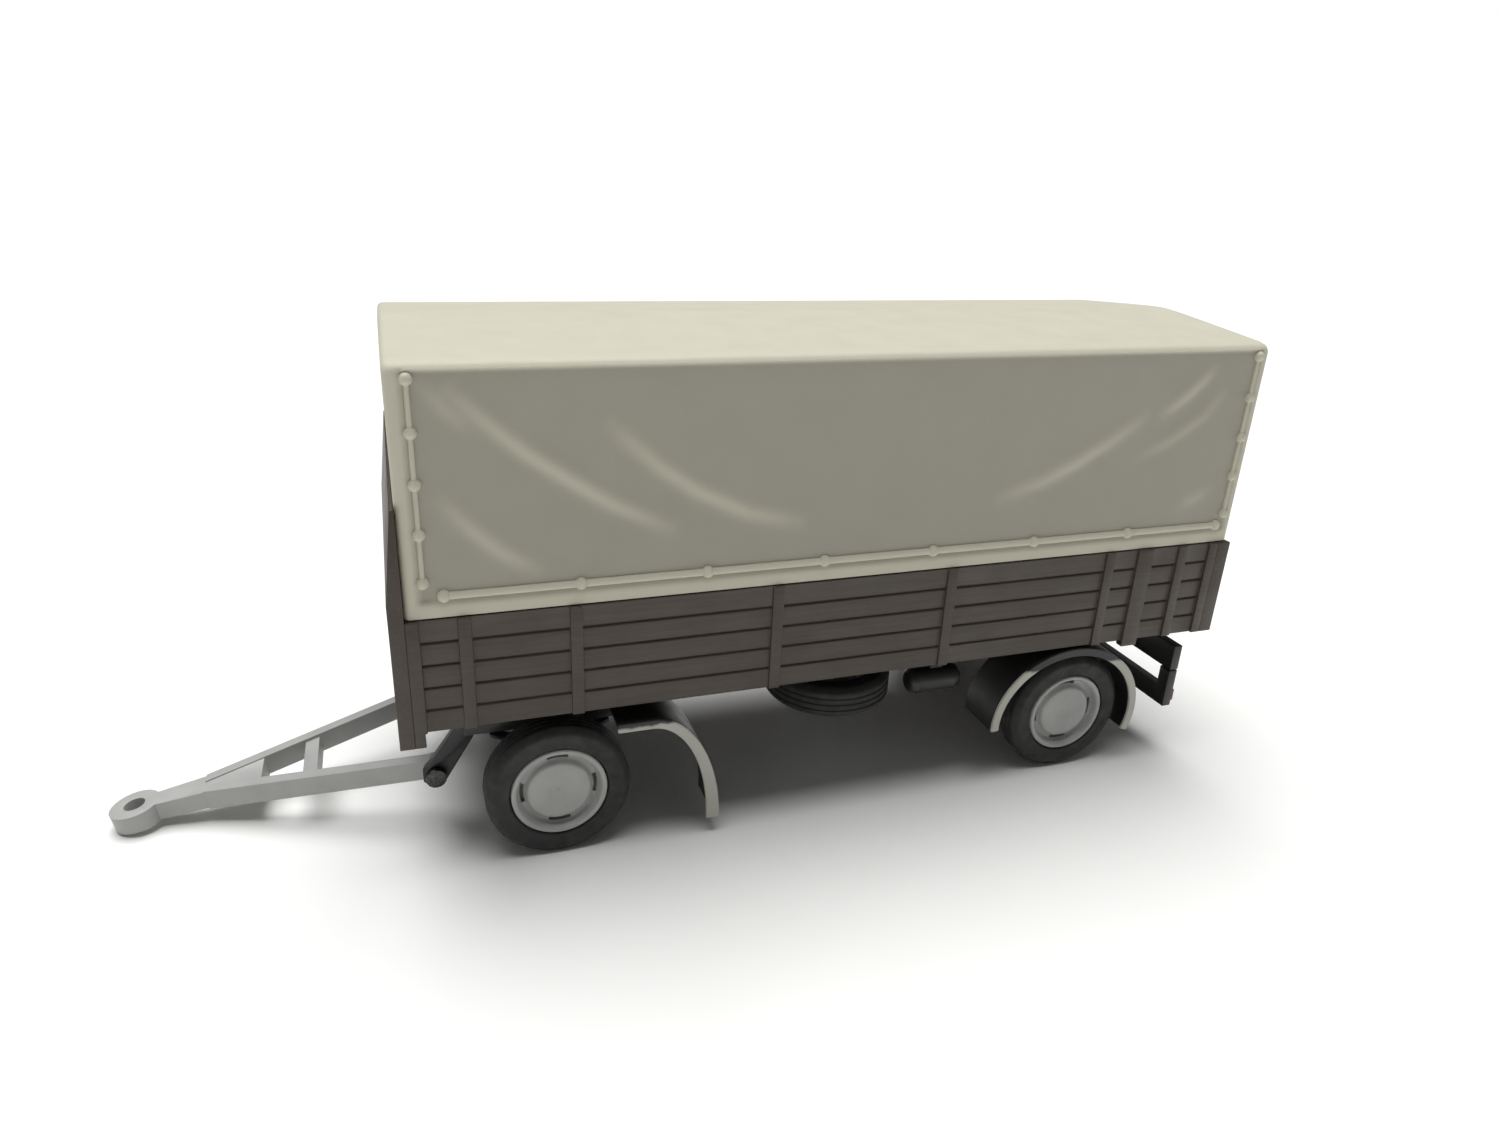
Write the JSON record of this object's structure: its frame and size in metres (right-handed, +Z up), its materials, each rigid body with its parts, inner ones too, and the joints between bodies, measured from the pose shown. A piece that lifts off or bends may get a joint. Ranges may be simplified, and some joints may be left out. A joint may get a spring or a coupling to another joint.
{
  "type": "model drawbar trailer",
  "caption": "Scale model of a two-axle drawbar lorry trailer with plank sides, tarpaulin cover, turntable steering and spare wheel.",
  "frame": {"origin": "middle of the trailer's footprint, on the ground under the tyres, with the drawbar lowered", "axes": "+X to the rear of the trailer, the drawbar points to -X; +Y to the trailer's own right side; +Z up"},
  "size_m": [0.0932, 0.027, 0.0401],
  "materials": {
    "brown_plastic": "moulded satin",
    "black_plastic": "moulded satin",
    "grey_plastic": "moulded satin",
    "tarpaulin_plastic": "moulded satin",
    "tyre_rubber": "matt",
    "lamp_plastic": "gloss",
    "pin_steel": "drawn wire"
  },
  "bodies": {
    "trailer_body": {"air_tank": "black_plastic", "air_tank_bracket": "black_plastic", "cross_member_1": "black_plastic", "cross_member_2": "black_plastic", "cross_member_3": "black_plastic", "cross_member_4": "black_plastic", "cross_member_5": "black_plastic", "cross_member_6": "black_plastic", "frame_rail_left": "black_plastic", "frame_rail_right": "black_plastic", "front_bolster": "black_plastic", "headboard": "brown_plastic", "king_pin": "pin_steel", "load_bed": "brown_plastic", "rear_axle_block_left": "black_plastic", "rear_axle_block_right": "black_plastic", "rear_beam": "black_plastic", "rear_fender_edge_left": "grey_plastic", "rear_fender_edge_right": "grey_plastic", "rear_fender_left": "black_plastic", "rear_fender_right": "black_plastic", "rear_guard": "black_plastic", "rear_lamp_left": "lamp_plastic", "rear_lamp_right": "lamp_plastic", "rear_spring_left": "black_plastic", "rear_spring_right": "black_plastic", "side_board_left": "brown_plastic", "side_board_right": "brown_plastic", "spare_bolt": "pin_steel", "spare_carrier": "black_plastic", "spare_rim": "grey_plastic", "spare_tyre": "tyre_rubber", "tailboard": "brown_plastic", "turntable_ring_upper": "black_plastic"},
    "front_wheels": {"front_axle": "pin_steel", "front_tyre_left": "tyre_rubber", "front_tyre_right": "tyre_rubber", "front_rim_left": "grey_plastic", "front_rim_right": "grey_plastic"},
    "rear_wheels": {"rear_axle": "pin_steel", "rear_tyre_left": "tyre_rubber", "rear_tyre_right": "tyre_rubber", "rear_rim_left": "grey_plastic", "rear_rim_right": "grey_plastic"},
    "turntable": {"turntable_ring_lower": "black_plastic", "bogie_frame": "black_plastic", "front_spring_left": "black_plastic", "front_spring_right": "black_plastic", "front_axle_block_left": "black_plastic", "front_axle_block_right": "black_plastic", "front_fender_left": "black_plastic", "front_fender_right": "black_plastic", "front_fender_edge_left": "grey_plastic", "front_fender_edge_right": "grey_plastic", "drawbar_pin_left": "pin_steel", "drawbar_pin_right": "pin_steel"},
    "drawbar": {"drawbar": "grey_plastic"},
    "cover": {"cover": "tarpaulin_plastic"}
  },
  "joints": [
    {"name": "turntable_steer", "type": "hinge", "parent": "trailer_body", "child": "turntable", "pos_m": [-0.01316, 0, 0.0107], "axis": [0, 0, 1], "range_deg": [-90, 90]},
    {"name": "drawbar_lift", "type": "hinge", "parent": "turntable", "child": "drawbar", "pos_m": [-0.02206, 0, 0.0053], "axis": [0, 1, 0], "range_deg": [0, 45]},
    {"name": "front_wheels_roll", "type": "hinge", "parent": "turntable", "child": "front_wheels", "pos_m": [-0.01316, 0, 0.0056], "axis": [0, 1, 0], "continuous": true},
    {"name": "rear_wheels_roll", "type": "hinge", "parent": "trailer_body", "child": "rear_wheels", "pos_m": [0.03294, 0, 0.0056], "axis": [0, 1, 0], "continuous": true},
    {"name": "cover_lift", "type": "slide", "parent": "trailer_body", "child": "cover", "axis": [0, 0, 1], "range_m": [0, 0.03]}
  ]
}
